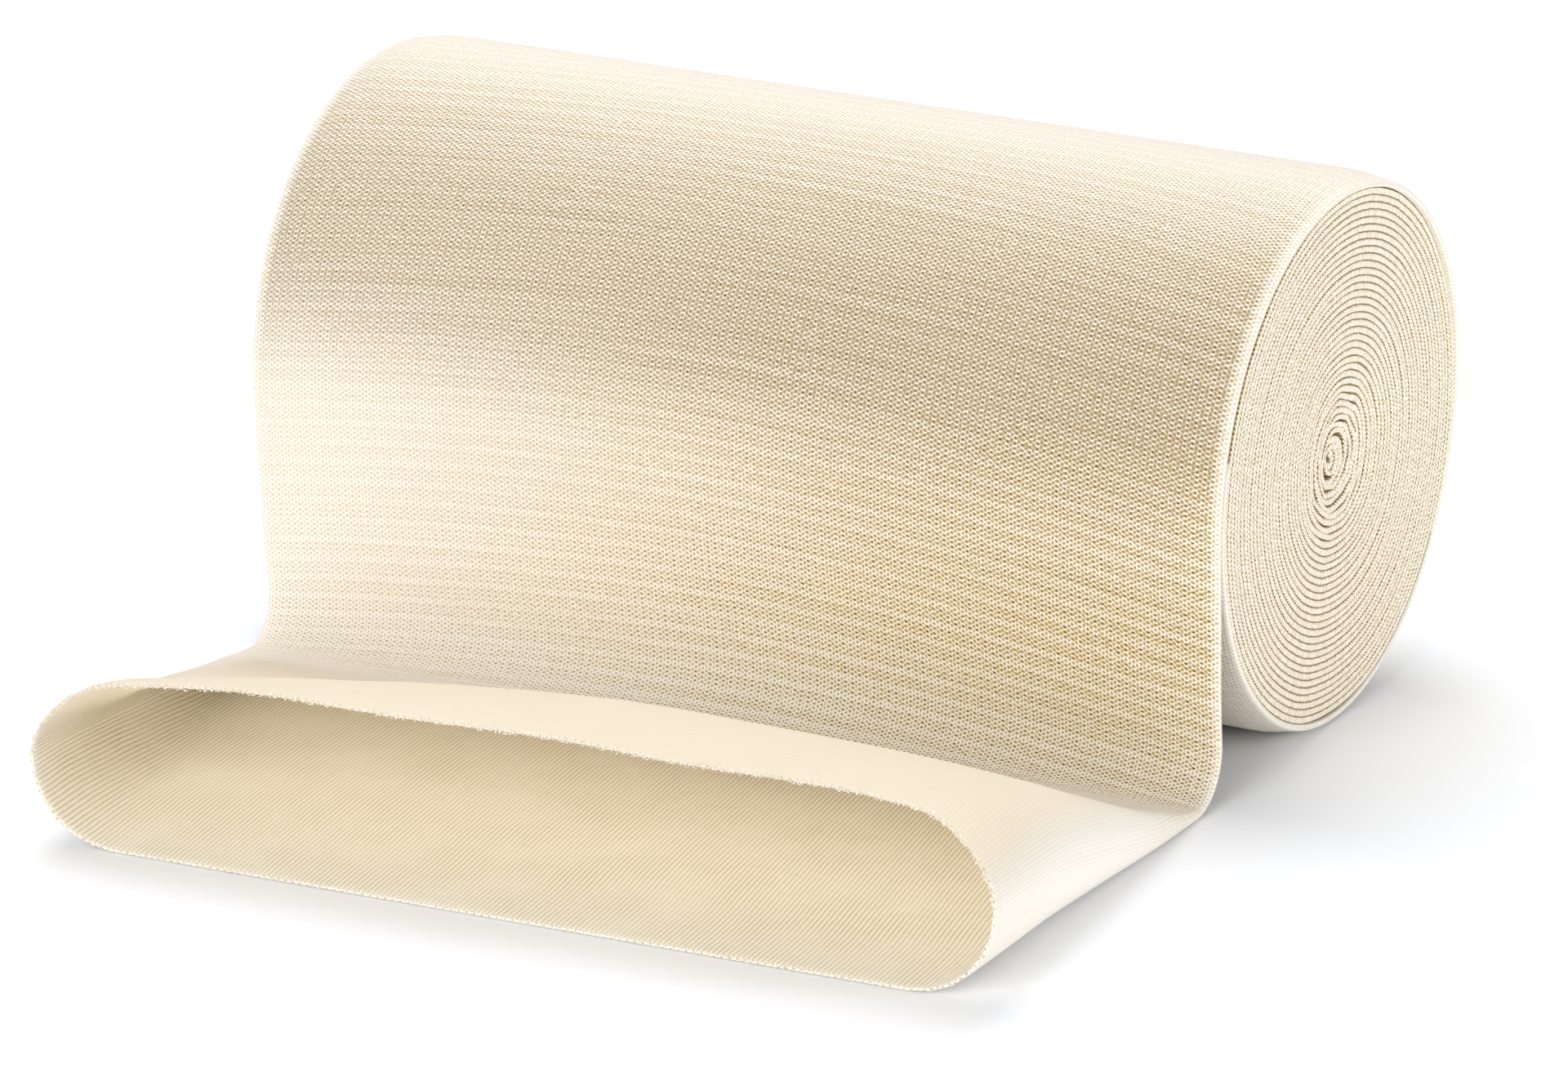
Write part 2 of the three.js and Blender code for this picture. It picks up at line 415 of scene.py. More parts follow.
def knit_face(name, sizes, colours, loop):
    """Cotton and elastic knit, face side: soft matt loops in staggered rows, thread and gaps between them.

    The eye sees tan dots and wale lines on pale cloth where it is slack, pale loops on tan thread where it
    is pulled round the roll, which also stands as painted shade for that band, brown pinholes where it is
    stretched, and rows that differ in tension.
    """
    material, tree, shader = new_material(name)
    uv, gaps, wales = knit_lattice(tree, sizes.wale, sizes.course)
    stretch = node(tree, "ShaderNodeAttribute", attribute_name=OPEN_NAME)["Fac"]

    # Each row keeps its tension across the cloth, and each gap differs from the next
    rows = node(tree, "ShaderNodeMapping", {"Vector": uv, "Scale": (1 / ROW_REACH, 1 / ROW_SPACING, 1.0)})[0]
    tension = node(tree, "ShaderNodeTexNoise", {"Vector": rows, "Scale": 1.0, "Detail": 1.0})[0]
    single = node(tree, "ShaderNodeTexNoise", {"Vector": uv, "Scale": 1 / GAP_SPACING, "Detail": 0.0})[0]
    both = node(tree, "ShaderNodeMath", {0: tension, 1: ROW_SHARE, 2: single}, operation="MULTIPLY_ADD")[0]
    slack = node(
        tree,
        "ShaderNodeMapRange",
        {"Value": both, "From Min": 0.45, "From Max": 0.95, "To Min": -UNEVEN, "To Max": UNEVEN},
    )[0]
    field = node(tree, "ShaderNodeMath", {0: gaps, 1: slack}, operation="ADD")[0]

    # Every fourth row is knitted tight, and shows as a pale line, most of all where the cloth is slack
    # How taut the knit is round the roll, which also darkens that band as painted shade
    thin_shade = node(tree, "ShaderNodeAttribute", attribute_name=TAUT_SHADE_NAME)["Fac"]
    eased = node(tree, "ShaderNodeMath", {0: thin_shade, 1: -EVENED, 2: 1.0}, operation="MULTIPLY_ADD")[0]
    row = node(tree, "ShaderNodeSeparateXYZ", {0: uv})["Y"]
    repeat = TURN / (TIGHT_EVERY * sizes.course)
    row = node(tree, "ShaderNodeMath", {0: row, 1: repeat}, operation="MULTIPLY")[0]
    row = node(tree, "ShaderNodeMath", {0: row}, operation="COSINE")[0]
    tight = node(
        tree, "ShaderNodeMapRange", {"Value": row, "From Min": 0.7}, interpolation_type="SMOOTHSTEP"
    )[0]
    tight = node(tree, "ShaderNodeMath", {0: tight, 1: eased}, operation="MULTIPLY")[0]
    field = node(tree, "ShaderNodeMath", {0: tight, 1: -TIGHTENED, 2: field}, operation="MULTIPLY_ADD")[0]

    # Round the roll the loops are pulled apart, and the thread shows all round each of them; this darker band
    # is partly painted shade
    spread = node(tree, "ShaderNodeMath", {0: thin_shade, 1: TAUT_SHADE_SPREAD, 2: field}, operation="MULTIPLY_ADD")[0]
    dot = node(
        tree,
        "ShaderNodeMapRange",
        {"Value": spread, "From Min": -0.35, "From Max": 0.75},
        interpolation_type="SMOOTHSTEP",
    )[0]

    # The thread shows deeper the more the cloth is stretched, and as a line along each wale
    depth = node(
        tree, "ShaderNodeMath", {0: stretch, 1: DOT_DRAWN, 2: DOT_DEPTH}, operation="MULTIPLY_ADD"
    )[0]
    depth = node(tree, "ShaderNodeMath", {0: thin_shade, 1: -DOT_TAUT_SHADE, 2: depth}, operation="MULTIPLY_ADD")[0]
    dot = node(tree, "ShaderNodeMath", {0: dot, 1: depth}, operation="MULTIPLY")[0]
    drawn = node(tree, "ShaderNodeMath", {0: stretch, 1: stretch}, operation="MULTIPLY")[0]
    line = node(tree, "ShaderNodeMath", {0: drawn, 1: LINE_DRAWN, 2: LINE_DEPTH}, operation="MULTIPLY_ADD")[0]
    ground = node(
        tree, "ShaderNodeMath", {0: wales, 1: line, 2: dot}, operation="MULTIPLY_ADD", use_clamp=True
    )[0]

    # Where the cloth is stretched, the middle of a gap is a dark pinhole
    hole = node(
        tree,
        "ShaderNodeMapRange",
        {"Value": field, "From Min": 0.7, "From Max": 1.2},
        interpolation_type="SMOOTHSTEP",
    )[0]
    hole = node(tree, "ShaderNodeMath", {0: hole, 1: drawn}, operation="MULTIPLY", use_clamp=True)[0]
    # The thread is darker where the knit is taut round the roll, partly painted shade
    thread = node(
        tree, "ShaderNodeMix", {0: thin_shade, 6: (*colours.thread, 1), 7: (*colours.taut_shade, 1)}, data_type="RGBA"
    )[2]
    base = node(tree, "ShaderNodeMix", {0: ground, 6: (*loop, 1), 7: thread}, data_type="RGBA")[2]
    colour = node(tree, "ShaderNodeMix", {0: hole, 6: base, 7: (*colours.gap, 1)}, data_type="RGBA")[2]
    soft_cotton(tree, shader, colours, colour, ground)
    return material


def knit_back(sizes, colours):
    """Cotton and elastic knit, inside: close smooth ribs along the tube, with hardly a gap showing.

    A rib is two or three real wales wide, and the eye sees it as a thin tan line beside a pale ridge.
    """
    material, tree, shader = new_material("cotton elastic knit, back")
    uv, gaps, wales = knit_lattice(tree, sizes.wale * WALES / RIBS, sizes.course)
    ribs = node(tree, "ShaderNodeMath", {0: wales, 1: wales}, operation="MULTIPLY")[0]
    shade = node(tree, "ShaderNodeMath", {0: gaps, 1: 0.2, 2: ribs}, operation="MULTIPLY_ADD")[0]
    blotch = node(tree, "ShaderNodeTexNoise", {"Vector": uv, "Scale": 1 / BLOTCH, "Detail": 3.0})[0]
    depth = node(
        tree,
        "ShaderNodeMapRange",
        {"Value": blotch, "From Min": 0.3, "From Max": 0.7, "To Min": 0.3, "To Max": 0.6},
    )[0]
    tint = node(tree, "ShaderNodeMath", {0: shade, 1: depth}, operation="MULTIPLY", use_clamp=True)[0]
    colour = node(
        tree, "ShaderNodeMix", {0: tint, 6: (*colours.back, 1), 7: (*colours.thread, 1)}, data_type="RGBA"
    )[2]
    soft_cotton(tree, shader, colours, colour, shade)
    return material


def cut_yarn(colours):
    """Cut cotton yarn ends: short pale fluff, matt, a little uneven in tone."""
    material, tree, shader = new_material("cut cotton yarn")
    place = node(tree, "ShaderNodeTexCoord")["Object"]
    grain = node(tree, "ShaderNodeTexNoise", {"Vector": place, "Scale": 1 / (1.5 * MM), "Detail": 2.0})[0]
    shade = tuple(c * 0.9 for c in colours.cut)
    colour = node(
        tree, "ShaderNodeMix", {0: grain, 6: (*shade, 1), 7: (*colours.cut, 1)}, data_type="RGBA"
    )[2]
    tree.links.new(colour, shader.inputs["Base Color"])
    shader.inputs["Roughness"].default_value = 0.9
    shader.inputs["Specular IOR Level"].default_value = 0.2
    return material


# Wound turns


def new_tree(name, sockets):
    """Geometry node tree with named inputs, each a name and a socket type, and a Geometry output."""
    tree = bpy.data.node_groups.new(name, "GeometryNodeTree")
    for label, kind in sockets:
        tree.interface.new_socket(label, in_out="INPUT", socket_type=kind)
    tree.interface.new_socket("Geometry", in_out="OUTPUT", socket_type="NodeSocketGeometry")
    return tree


def apply_tree(obj, tree, values):
    """Run a tree on an object with its inputs set by identifier, and keep the result as a plain mesh."""
    modifier = obj.modifiers.new(tree.name, "NODES")
    modifier.node_group = tree
    for item in tree.interface.items_tree:
        if item.in_out == "INPUT" and item.name in values:
            modifier[item.identifier] = values[item.name]
    graph = bpy.context.evaluated_depsgraph_get()
    mesh = bpy.data.meshes.new_from_object(obj.evaluated_get(graph))
    mesh.name = obj.name
    obj.modifiers.remove(modifier)
    obj.data = mesh
    return obj


def new_object(name, data=None):
    """Object in the scene, with an empty mesh where it is given no data."""
    obj = bpy.data.objects.new(name, data or bpy.data.meshes.new(name))
    bpy.context.collection.objects.link(obj)
    return obj


# Which way the flat spiral is stood up: its X up, its Y forward, its Z along the roll
STAND_UP = Matrix(((0, 0, 1), (0, -1, 0), (1, 0, 0))).to_euler()
EDGE_ROUND = 0.32  # radius of a turn's folded edge, as a share of its thickness
SLIPS_PER_METRE = 7.0  # how often a turn slips along the roll
CORE_REACH = 13 * MM  # how far from its middle the winding is crumpled
CORE_DISH = 0.03  # share of the width by which the end face sinks at its middle
WOBBLE_SIZE = 11 * MM  # size of the crumples
OUTER_WOBBLE = 0.07  # share of the crumple that the whole roll has
LOOSE_LENGTH = 14 * MM  # length of the bulges of the loose core
CORE_LOOSE = 1.3  # how far they bulge, as a share of the radius
PRESSED_FROM = 0.93  # cosine of the angle from straight down at which the underside starts to flatten
CREST = 0.36  # share of half a turn's thickness that lies on its crest
DRAWN_IN = 2 * MM  # how much narrower the tube is than its flat width
TURN_SHARE = 0.985  # share of the pitch that a turn fills


def wound_turns_tree():
    """Flattened tube swept along a spiral, with chance slips of each turn and a crumpled core."""
    winding = ("Turns", "Core radius", "Outer radius", "Start angle", "Axis height")
    tube = ("Flat width", "Thickness", "Settled share", "Droop share", "Droop length", "Slip", "Crumple")
    knit = ("Wale", "Open crest", "Open groove and shade", "Seed")
    sockets = [("Geometry", "NodeSocketGeometry")]
    sockets += [(name, "NodeSocketFloat") for name in winding + tube + knit]
    sockets += [("Material", "NodeSocketMaterial")]
    tree = new_tree("Wound turns", sockets)
    given = node(tree, "NodeGroupInput")
    spiral = node(
        tree,
        "GeometryNodeCurveSpiral",
        {
            "Resolution": 72,
            "Rotations": given["Turns"],
            "Start Radius": given["Core radius"],
            "End Radius": given["Outer radius"],
            "Height": 0.0,
        },
    )[0]
    length = node(tree, "GeometryNodeSplineParameter")["Length"]
    spiral = node(
        tree, "GeometryNodeStoreNamedAttribute", {"Geometry": spiral, "Name": "along", "Value": length}
    )[0]
    rounding = node(tree, "ShaderNodeMath", {0: given["Thickness"], 1: EDGE_ROUND}, operation="MULTIPLY")[0]
    section = node(
        tree,
        "GeometryNodeCurvePrimitiveQuadrilateral",
        {"Width": given["Thickness"], "Height": given["Flat width"]},
    )[0]
    section = node(
        tree,
        "GeometryNodeFilletCurve",
        {"Curve": section, "Count": 4, "Radius": rounding, "Limit Radius": True},
        mode="POLY",
    )[0]
    thick = node(tree, "ShaderNodeSeparateXYZ", {0: node(tree, "GeometryNodeInputPosition")[0]})["X"]
    section = node(
        tree, "GeometryNodeStoreNamedAttribute", {"Geometry": section, "Name": "across", "Value": thick}
    )[0]
    swept = node(
        tree, "GeometryNodeCurveToMesh", {"Curve": spiral, "Profile Curve": section, "Fill Caps": True}
    )[0]

    # Each turn slips a little along the roll, and the face is dished towards the core
    place = node(tree, "GeometryNodeInputPosition")[0]
    split = node(tree, "ShaderNodeSeparateXYZ", {0: place})
    flat = node(tree, "ShaderNodeCombineXYZ", {0: split["X"], 1: split["Y"]})[0]
    radius = node(tree, "ShaderNodeVectorMath", {0: flat}, operation="LENGTH")["Value"]
    along = node(tree, "GeometryNodeInputNamedAttribute", {"Name": "along"}, data_type="FLOAT")[0]
    chance = node(tree, "ShaderNodeMath", {0: along, 1: given["Seed"]}, operation="ADD")[0]
    slip = node(
        tree,
        "ShaderNodeTexNoise",
        {"W": chance, "Scale": SLIPS_PER_METRE, "Detail": 3.0},
        noise_dimensions="1D",
    )[0]
    slip = node(tree, "ShaderNodeMath", {0: slip, 1: 0.5}, operation="SUBTRACT")[0]
    slip = node(tree, "ShaderNodeMath", {0: slip, 1: given["Slip"]}, operation="MULTIPLY")[0]
    near_core = node(tree, "ShaderNodeMath", {0: radius, 1: -1 / CORE_REACH}, operation="MULTIPLY")[0]
    near_core = node(tree, "ShaderNodeMath", {0: near_core}, operation="EXPONENT")[0]
    dish = node(tree, "ShaderNodeMath", {0: near_core, 1: -CORE_DISH, 2: 1.0}, operation="MULTIPLY_ADD")[0]
    tall = node(tree, "ShaderNodeMath", {0: split["Z"], 1: dish, 2: slip}, operation="MULTIPLY_ADD")[0]

    # Uneven winding, most of all at the crumpled core
    wobble = node(
        tree,
        "ShaderNodeTexNoise",
        {"Vector": flat, "W": given["Seed"], "Scale": 1 / WOBBLE_SIZE},
        noise_dimensions="4D",
    )["Color"]
    wobble = node(tree, "ShaderNodeVectorMath", {0: wobble, 1: (0.5, 0.5, 0.5)}, operation="SUBTRACT")[0]
    strength = node(tree, "ShaderNodeMath", {0: near_core, 1: OUTER_WOBBLE}, operation="ADD")[0]
    strength = node(tree, "ShaderNodeMath", {0: strength, 1: given["Crumple"]}, operation="MULTIPLY")[0]
    wobble = node(tree, "ShaderNodeVectorMath", {0: wobble, "Scale": strength}, operation="SCALE")[0]
    moved = node(tree, "ShaderNodeVectorMath", {0: flat, 1: wobble})[0]
    loose = node(
        tree,
        "ShaderNodeTexNoise",
        {"W": chance, "Scale": 1 / LOOSE_LENGTH, "Detail": 1.0},
        noise_dimensions="1D",
    )[0]
    loose = node(tree, "ShaderNodeMath", {0: loose, 1: 0.5}, operation="SUBTRACT")[0]
    heart = node(tree, "ShaderNodeMath", {0: near_core, 1: near_core}, operation="MULTIPLY")[0]
    loose = node(tree, "ShaderNodeMath", {0: loose, 1: heart}, operation="MULTIPLY")[0]
    loose = node(tree, "ShaderNodeMath", {0: loose, 1: CORE_LOOSE, 2: 1.0}, operation="MULTIPLY_ADD")[0]
    moved = node(tree, "ShaderNodeVectorMath", {0: moved, "Scale": loose}, operation="SCALE")[0]

    # The ends of the roll droop a little, as nothing lies beyond them
    aside = node(tree, "ShaderNodeMath", {0: split["Z"]}, operation="ABSOLUTE")[0]
    edge = node(tree, "ShaderNodeMath", {0: given["Flat width"], 1: 0.5}, operation="MULTIPLY")[0]
    inner = node(tree, "ShaderNodeMath", {0: edge, 1: given["Droop length"]}, operation="SUBTRACT")[0]
    ramp = node(
        tree,
        "ShaderNodeMapRange",
        {"Value": aside, "From Min": inner, "From Max": edge},
        interpolation_type="SMOOTHSTEP",
    )[0]
    drawn = node(tree, "ShaderNodeMath", {0: ramp, 1: given["Droop share"]}, operation="MULTIPLY")[0]
    drawn = node(tree, "ShaderNodeMath", {0: 1.0, 1: drawn}, operation="SUBTRACT")[0]
    moved = node(tree, "ShaderNodeVectorMath", {0: moved, "Scale": drawn}, operation="SCALE")[0]

    # The underside is pressed flat by the roll's own weight
    turned = node(
        tree,
        "ShaderNodeVectorRotate",
        {"Vector": moved, "Angle": given["Start angle"]},
        rotation_type="Z_AXIS",
    )[0]
    stood = node(tree, "ShaderNodeSeparateXYZ", {0: turned})
    down = node(tree, "ShaderNodeMath", {0: stood["X"], 1: radius}, operation="DIVIDE")[0]
    under = node(tree, "ShaderNodeMapRange", {"Value": down, "From Min": -PRESSED_FROM, "From Max": -1.0})[0]
    press = node(tree, "ShaderNodeMath", {0: under, 1: given["Settled share"]}, operation="MULTIPLY")[0]
    press = node(tree, "ShaderNodeMath", {0: 1.0, 1: press}, operation="SUBTRACT")[0]
    lower = node(tree, "ShaderNodeMath", {0: stood["X"], 1: press}, operation="MULTIPLY")[0]
    settled = node(tree, "ShaderNodeCombineXYZ", {0: lower, 1: stood["Y"], 2: tall})[0]
    shaped = node(tree, "GeometryNodeSetPosition", {"Geometry": swept, "Position": settled})[0]
    lift = node(tree, "ShaderNodeCombineXYZ", {2: given["Axis height"]})[0]
    standing = node(
        tree, "GeometryNodeTransform", {"Geometry": shaped, "Translation": lift, "Rotation": tuple(STAND_UP)}
    )[0]

    # On the end face the large gaps lie in the groove between two turns, and the crests are shut; the tan
    # grooves are partly painted shade between the turns
    across = node(tree, "GeometryNodeInputNamedAttribute", {"Name": "across"}, data_type="FLOAT")[0]
    out = node(tree, "ShaderNodeMath", {0: across}, operation="ABSOLUTE")[0]
    groove = node(tree, "ShaderNodeMath", {0: given["Thickness"], 1: 0.5}, operation="MULTIPLY")[0]
    share = node(tree, "ShaderNodeMath", {0: out, 1: groove}, operation="DIVIDE")[0]
    inward = node(
        tree,
        "ShaderNodeMapRange",
        {"Value": share, "From Min": CREST, "To Min": given["Wale"], "To Max": 0.0},
    )[0]
    uv = node(tree, "ShaderNodeCombineXYZ", {0: inward, 1: along})[0]
    opening = node(
        tree,
        "ShaderNodeMapRange",
        {"Value": share, "From Min": CREST, "To Min": given["Open crest"], "To Max": given["Open groove and shade"]},
    )[0]
    mapped = node(
        tree,
        "GeometryNodeStoreNamedAttribute",
        {"Geometry": standing, "Name": KNIT_UV, "Value": uv},
        data_type="FLOAT2",
        domain="CORNER",
    )[0]
    opened = node(
        tree, "GeometryNodeStoreNamedAttribute", {"Geometry": mapped, "Name": OPEN_NAME, "Value": opening}
    )[0]
    smooth = node(tree, "GeometryNodeSetShadeSmooth", {"Geometry": opened})[0]
    real = node(tree, "GeometryNodeRealizeInstances", {"Geometry": smooth})[0]
    done = node(tree, "GeometryNodeSetMaterial", {"Geometry": real, "Material": given["Material"]})[0]
    node(tree, "NodeGroupOutput", {"Geometry": done})
    return tree


def make_wound_turns(sizes, material):
    """The turns inside the roll, up to the one that shows all round."""
    winding = Winding(sizes)
    end_angle = winding.hidden_start() + TUCK
    outer = winding.outer(end_angle) - winding.pitch / 2
    turns = (outer - sizes.core) / winding.pitch
    values = {
        "Turns": turns,
        "Core radius": sizes.core,
        "Outer radius": outer,
        "Start angle": end_angle - turns * TURN,
        "Axis height": winding.axis_height,
        "Flat width": sizes.flat_width - DRAWN_IN,
        "Thickness": TURN_SHARE * winding.pitch,
        "Settled share": sizes.settled / winding.outer(-math.pi),
        "Droop share": sizes.droop / winding.radius,
        "Droop length": sizes.droop_length,
        "Slip": 0.6 * MM,
        "Crumple": 9 * MM,
        "Wale": sizes.wale,
        "Open crest": 0.3,
        # Grooves drawn far open: more thread and gap colour, partly painted shade between the turns
        "Open groove and shade": 2.2,
        "Seed": float(sizes.seed),
        "Material": material,
    }
    return apply_tree(new_object("wound_turns"), wound_turns_tree(), values)


# Outer turn and loose end

# How finely each stretch of the cloth is divided, and the sides and folds of its section
STEPS = {"wound": 130, "hang": 18, "bend": 16, "laid": 56, "side": 104, "fold": 12}
MOUTH_ROUND = 3  # rings over the cut edge
SHEER = 0.5  # share of the light that one layer lets through
SHEER_RUN = (0, 30)  # run in mm over which the two layers part, so that light comes through the upper one
UPPER_LAYER = (0.0, 0.2)  # where that starts past a fold: 0 is the fold, 1 the middle of the upper layer
FOLD_BAND = (0.98, 0.994)  # share of the half width over which the stitches shut towards a fold
FOLD_SHUT = 0.7  # how far they shut there
# The cut edge is drawn open, which also dulls the bright line along its rounded rim as painted shade
RIM_OPEN_SHADE = 0.5  # how far the stitches of the cut edge are drawn open
LIP_FROM = 0.4  # share of the tube's height above which its upper lip is shaped
LEAVING_RUN = (-85, -30)  # run in mm over which the cloth leaves the roll
BEDDED = 0.97  # share of its thickness that the cloth keeps up to the foot of its bend
PARTED = 2.3  # the two layers part where the tube is so many layers high
PROUD_AT, PROUD_REACH = -0.7, 0.9  # radians from the top where the outer turn has slipped out, and its reach
PROUD_EDGE = 10  # how close to its edge that stays


def cloth_route(sizes):
    """Stations along the outer turn and loose end: the under layer's place, facing, run and length."""
    winding = Winding(sizes)
    leave, pitch = winding.leave, winding.pitch
    base_bend = sizes.bend + pitch
    base = winding.radius - pitch
    start_z = winding.axis_height + base * math.cos(leave)
    bend_top = base_bend * (1 - math.cos(leave))
    hang = (start_z - bend_top) / math.sin(leave)
    bend_start = -base * math.sin(leave) - hang * math.cos(leave)
    bend_end = bend_start - base_bend * math.sin(leave)

    angle = np.linspace(winding.hidden_start(), leave, STEPS["wound"], endpoint=False)
    radius = winding.outer(angle) - pitch
    before = -hang - leave * base_bend
    wound = np.stack(
        [
            -radius * np.sin(angle),
            winding.axis_height + radius * np.cos(angle),
            angle,
            before + (angle - leave) * winding.radius,
        ]
    )
    left = hang * (1 - np.arange(STEPS["hang"]) / STEPS["hang"])
    hanging = np.stack(
        [
            bend_start + left * math.cos(leave),
            bend_top + left * math.sin(leave),
            np.full_like(left, leave),
            -left - leave * base_bend,
        ]
    )
    face = leave * (1 - np.arange(STEPS["bend"]) / STEPS["bend"])
    bend = np.stack(
        [bend_end + base_bend * np.sin(face), base_bend * (1 - np.cos(face)), face, -face * base_bend]
    )
    run = np.linspace(0, sizes.laid, STEPS["laid"] + 1)
    laid = np.stack([bend_end - run, np.zeros_like(run), np.zeros_like(run), run])
    y, z, facing, run = np.concatenate([wound, hanging, bend, laid], axis=1)
    return y, z, facing, run


def stadium(width, height):
    """Section of the tube from the middle of its under layer, to the right and round: two flat sides
    and two half-round folds. Gives across, up and the share of the girth."""
    round_ = height / 2
    flat = width / 2 - round_
    turn = np.linspace(0, math.pi, STEPS["fold"], endpoint=False)
    side = STEPS["side"]
    half_side = np.arange(side // 2) / (side // 2)
    across = np.concatenate(
        [
            flat * half_side,
            flat + round_ * np.sin(turn),
            flat * (1 - 2 * np.arange(side) / side),
            -flat - round_ * np.sin(turn),
            flat * (half_side - 1),
        ]
    )
    up = np.concatenate(
        [
            np.zeros(side // 2),
            round_ * (1 - np.cos(turn)),
            np.full(side, height),
            round_ * (1 + np.cos(turn)),
            np.zeros(side // 2),
        ]
    )
    ring = np.hypot(np.diff(across, append=across[:1]), np.diff(up, append=up[:1]))
    share = np.concatenate([[0], np.cumsum(ring)]) / ring.sum()
    return across, up, share


def cloth_ring(sizes, station, inset):
    """One ring of the cloth, drawn in by inset on every side. Gives its points and girth shares."""
    y, z, facing, run = station
    found = read_rows(LOOSE_ROWS, "run", np.array([run / MM]))
    rows = {name: float(column[0]) for name, column in found.items()}
    width, height = rows["width"] * MM, rows["height"] * MM
    drift, rise, crown = rows["drift"] * MM, rows["rise"] * MM, rows["crown"] * MM
    height = max(height, 2 * sizes.layer) * (BEDDED if run < 0 else 1.0)
    across, up, share = stadium(width - 2 * inset - DRAWN_IN, height - 2 * inset)
    out = up + inset
    side = 2 * across / width
    lip = read_rows(LIP_ROWS, "across", side)
    near_mouth = max(run / sizes.laid, 0) ** 2
    upper = smoothstep(out, LIP_FROM * height, height)
    lifted = out * (1 + rise * side / (2 * height))
    lifted = lifted + upper * (crown * (1 - side**2) + near_mouth * lip["lift"] * MM)
    back = near_mouth * upper * lip["setback"] * MM + rows["skew"] * (across + drift)
    moves = 1.0 if run < 0 else upper
    for row in SWELL_ROWS:
        aside = (across / MM - row["across"]) / row["wide"]
        along = (run / MM - row["run"]) / row["long"]
        lifted = lifted + moves * row["height"] * MM * np.exp(-(aside**2 + along**2))

    # On the roll the ends of the turn droop, and its right edge has slipped out at the back
    on_roll = 1 - smoothstep(run / MM, *LEAVING_RUN)
    ramp = smoothstep(np.abs(across), width / 2 - sizes.droop_length, width / 2)
    lifted = lifted - on_roll * sizes.droop * ramp
    slipped = sizes.proud * math.exp(-(((facing - PROUD_AT) / PROUD_REACH) ** 2))
    slipped = slipped * np.clip(side, 0, 1) ** PROUD_EDGE
    points = np.stack(
        [
            across + drift + on_roll * slipped,
            y - lifted * math.sin(facing) + back,
            np.maximum(z + lifted * math.cos(facing), 0.0),
        ],
        axis=1,
    )
    return points, share


def mirrored_caps(first, count):
    """Faces that close a flat ring by joining its upper side to its under side, in quads."""
    half, quarter = count // 2, count // 4
    faces = []
    for i in range(quarter):
        faces.append((first + i, first + i + 1, first + half - i - 1, first + half - i))
        last = count - i
        faces.append((first + half + i, first + half + i + 1, first + last - 1, first + last % count))
    return [face for face in faces if len(set(face)) == 4]


def cut_ring(sizes, mouth, i):
    """Ring number i over the cut edge, which is rounded from the outside to the inside."""
    turn = math.pi * i / (MOUTH_ROUND + 1)
    points, share = cloth_ring(sizes, mouth, sizes.layer * (1 - math.cos(turn)) / 2)
    points[:, 1] -= 0.5 * sizes.layer * math.sin(turn)
    return points, share


def cloth_rings(sizes):
    """Rings of the whole skin: outside from roll to mouth, over the cut edge and back in between the layers.

    Gives them with their lengths along the skin, and the rings that the cut edge and the inside start at.
    """
    route = np.stack(cloth_route(sizes), axis=1)
    rings = [cloth_ring(sizes, station, 0.0) for station in route]
    lengths = list(route[:, 3])
    mouth = route[-1]
    for i in range(1, MOUTH_ROUND + 1):
        rings.append(cut_ring(sizes, mouth, i))
        lengths.append(mouth[3] + sizes.layer * i / MOUTH_ROUND)
    inner_from = len(rings)
    heights = read_rows(LOOSE_ROWS, "run", route[:, 3] / MM)["height"] * MM
    for station, height in zip(route[::-1], heights[::-1]):
        if height < PARTED * sizes.layer:
            break
        rings.append(cloth_ring(sizes, station, sizes.layer))
        lengths.append(2 * mouth[3] + 2 * sizes.layer - station[3])
    return rings, np.array(lengths), len(route), inner_from


def cloth_faces(uvs, inner_from):
    """Faces between the rings and over both ends, the map at their corners, and which lie inside."""
    last, count = len(uvs) - 1, uvs.shape[1] - 1
    faces, corners, inner = [], [], []
    for row in range(last):
        for i in range(count):
            j = (i + 1) % count
            faces.append((row * count + i, row * count + j, (row + 1) * count + j, (row + 1) * count + i))
            corners += [uvs[row, i], uvs[row, i + 1], uvs[row + 1, i + 1], uvs[row + 1, i]]
            inner.append(row >= inner_from)
    for first in (0, last * count):
        for face in mirrored_caps(first, count):
            faces.append(face if first else face[::-1])
            corners += [uvs[first // count, v - first] for v in faces[-1]]
            inner.append(first > 0)
    return faces, corners, inner


